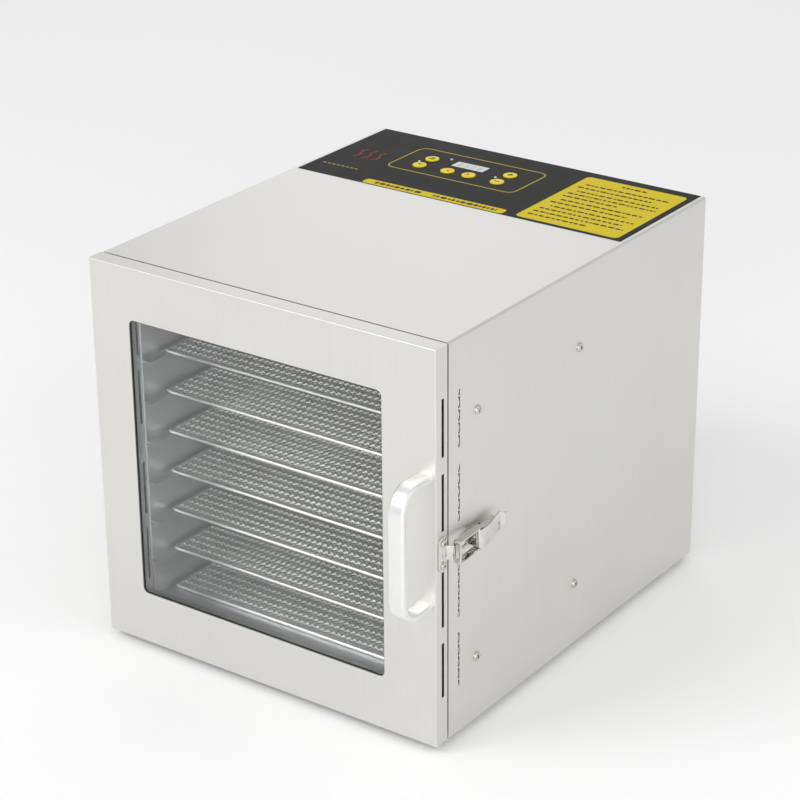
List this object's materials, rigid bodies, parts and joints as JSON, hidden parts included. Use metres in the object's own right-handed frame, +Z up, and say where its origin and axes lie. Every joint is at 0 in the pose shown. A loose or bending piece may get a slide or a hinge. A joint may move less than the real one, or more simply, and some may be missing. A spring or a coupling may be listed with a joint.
{
  "type": "food dehydrator",
  "caption": "Box-shaped sheet-steel food dehydrator with a glazed hinged door, sliding mesh trays, rear fan and heater, and a control panel on top.",
  "frame": {"origin": "on the surface that the feet stand on, under the middle of the whole machine", "axes": "+X to the latch side, +Y from the door to the back, +Z up"},
  "size_m": [0.3532, 0.4436, 0.3422],
  "materials": {
    "brushed_stainless": "fine satin, cold-rolled sheet",
    "liner_stainless": "mill finish sheet",
    "galvanised_steel": "galvanised",
    "tray_wire": "drawn and woven wire",
    "vent_mesh": "fine woven mesh",
    "screw_steel": "nickel plated",
    "polished_stainless": "polished",
    "satin_aluminium": "bead blasted and anodised clear",
    "clear_glass": "tempered, clear",
    "black_rubber": "moulded",
    "panel_film": "matt printed film",
    "yellow_buttons": "embossed film domes",
    "display_grey": "smooth window",
    "fan_aluminium": "stamped",
    "motor_steel": "black paint",
    "heater_sheath": "oxidised sheath",
    "circuit_board": "solder mask",
    "black_nylon": "moulded"
  },
  "bodies": {
    "cabinet": {"air_baffle": "liner_stainless", "back_panel": "brushed_stainless", "back_screws": "screw_steel", "base_plate": "brushed_stainless", "control_board": "circuit_board", "cord_gland": "black_nylon", "display_window": "display_grey", "fan_motor": "motor_steel", "front_frame": "brushed_stainless", "heating_element": "heater_sheath", "hinge_leaves_fixed": "polished_stainless", "hinge_pins": "polished_stainless", "hinge_screws_fixed": "screw_steel", "latch_base": "polished_stainless", "latch_pivot_pin": "polished_stainless", "latch_rivets": "screw_steel", "liner_ceiling": "liner_stainless", "liner_floor": "liner_stainless", "liner_left": "liner_stainless", "liner_right": "liner_stainless", "motor_bracket": "galvanised_steel", "outer_shell": "brushed_stainless", "panel_overlay": "panel_film", "power_board": "circuit_board", "rubber_feet": "black_rubber", "side_posts": "galvanised_steel", "side_screws": "screw_steel", "temperature_probe": "heater_sheath", "tray_rack_left": "liner_stainless", "tray_rack_right": "liner_stainless", "vent_mesh_left": "vent_mesh", "vent_mesh_right": "vent_mesh"},
    "door": {"door_outer": "brushed_stainless", "door_inner": "liner_stainless", "door_glass": "clear_glass", "glass_gasket": "black_rubber", "door_seal": "black_rubber", "handle": "satin_aluminium", "handle_screws": "screw_steel", "hinge_leaves_door": "polished_stainless", "hinge_screws_door": "screw_steel", "latch_strike": "polished_stainless", "strike_screws": "screw_steel"},
    "fan": {"fan_impeller": "fan_aluminium"},
    "latch_lever": {"latch_lever": "polished_stainless"},
    "latch_bail": {"latch_bail": "polished_stainless"},
    "tray_1": {"tray_1": "tray_wire"},
    "tray_2": {"tray_2": "tray_wire"},
    "tray_3": {"tray_3": "tray_wire"},
    "tray_4": {"tray_4": "tray_wire"},
    "tray_5": {"tray_5": "tray_wire"},
    "tray_6": {"tray_6": "tray_wire"},
    "tray_7": {"tray_7": "tray_wire"},
    "tray_8": {"tray_8": "tray_wire"},
    "button_menu": {"button_menu": "yellow_buttons"},
    "button_down": {"button_down": "yellow_buttons"},
    "button_left": {"button_left": "yellow_buttons"},
    "button_right": {"button_right": "yellow_buttons"},
    "button_minus": {"button_minus": "yellow_buttons"},
    "button_plus": {"button_plus": "yellow_buttons"}
  },
  "joints": [
    {"name": "door_hinge", "type": "hinge", "parent": "cabinet", "child": "door", "pos_m": [-0.1715, -0.167, 0.1735], "axis": [0, 0, -1], "range_deg": [0, 180]},
    {"name": "tray_1_slide", "type": "slide", "parent": "cabinet", "child": "tray_1", "axis": [0, -1, 0], "range_m": [0, 0.2016]},
    {"name": "tray_2_slide", "type": "slide", "parent": "cabinet", "child": "tray_2", "axis": [0, -1, 0], "range_m": [0, 0.178]},
    {"name": "tray_3_slide", "type": "slide", "parent": "cabinet", "child": "tray_3", "axis": [0, -1, 0], "range_m": [0, 0.1544]},
    {"name": "tray_4_slide", "type": "slide", "parent": "cabinet", "child": "tray_4", "axis": [0, -1, 0], "range_m": [0, 0.1309]},
    {"name": "tray_5_slide", "type": "slide", "parent": "cabinet", "child": "tray_5", "axis": [0, -1, 0], "range_m": [0, 0.1073]},
    {"name": "tray_6_slide", "type": "slide", "parent": "cabinet", "child": "tray_6", "axis": [0, -1, 0], "range_m": [0, 0.0838]},
    {"name": "tray_7_slide", "type": "slide", "parent": "cabinet", "child": "tray_7", "axis": [0, -1, 0], "range_m": [0, 0.0602]},
    {"name": "tray_8_slide", "type": "slide", "parent": "cabinet", "child": "tray_8", "axis": [0, -1, 0], "range_m": [0, 0.0366]},
    {"name": "latch_lever_pivot", "type": "hinge", "parent": "cabinet", "child": "latch_lever", "pos_m": [0.1735, -0.13675, 0.172], "axis": [0, 0, -1], "range_deg": [0, 110]},
    {"name": "latch_bail_pivot", "type": "hinge", "parent": "latch_lever", "child": "latch_bail", "pos_m": [0.1715, -0.13075, 0.172], "axis": [0, 0, 1], "range_deg": [0, 132.5]},
    {"name": "fan_spin", "type": "hinge", "parent": "cabinet", "child": "fan", "pos_m": [0, 0.14775, 0.173], "axis": [0, 1, 0], "continuous": true},
    {"name": "press_menu", "type": "slide", "parent": "cabinet", "child": "button_menu", "axis": [0, 0, -1], "range_m": [0, 0.0006], "stiffness_N_per_m": 600},
    {"name": "press_down", "type": "slide", "parent": "cabinet", "child": "button_down", "axis": [0, 0, -1], "range_m": [0, 0.0006], "stiffness_N_per_m": 600},
    {"name": "press_left", "type": "slide", "parent": "cabinet", "child": "button_left", "axis": [0, 0, -1], "range_m": [0, 0.0006], "stiffness_N_per_m": 600},
    {"name": "press_right", "type": "slide", "parent": "cabinet", "child": "button_right", "axis": [0, 0, -1], "range_m": [0, 0.0006], "stiffness_N_per_m": 600},
    {"name": "press_minus", "type": "slide", "parent": "cabinet", "child": "button_minus", "axis": [0, 0, -1], "range_m": [0, 0.0006], "stiffness_N_per_m": 600},
    {"name": "press_plus", "type": "slide", "parent": "cabinet", "child": "button_plus", "axis": [0, 0, -1], "range_m": [0, 0.0006], "stiffness_N_per_m": 600}
  ],
  "couplings": [
    {"joint": "tray_1_slide", "follows": "door_hinge", "m_per_rad": 0.064},
    {"joint": "tray_2_slide", "follows": "door_hinge", "m_per_rad": 0.0565},
    {"joint": "tray_3_slide", "follows": "door_hinge", "m_per_rad": 0.049},
    {"joint": "tray_4_slide", "follows": "door_hinge", "m_per_rad": 0.0415},
    {"joint": "tray_5_slide", "follows": "door_hinge", "m_per_rad": 0.034},
    {"joint": "tray_6_slide", "follows": "door_hinge", "m_per_rad": 0.0265},
    {"joint": "tray_7_slide", "follows": "door_hinge", "m_per_rad": 0.019},
    {"joint": "tray_8_slide", "follows": "door_hinge", "m_per_rad": 0.0115},
    {"joint": "latch_bail_pivot", "follows": "latch_lever_pivot", "ratio": 1.2}
  ]
}
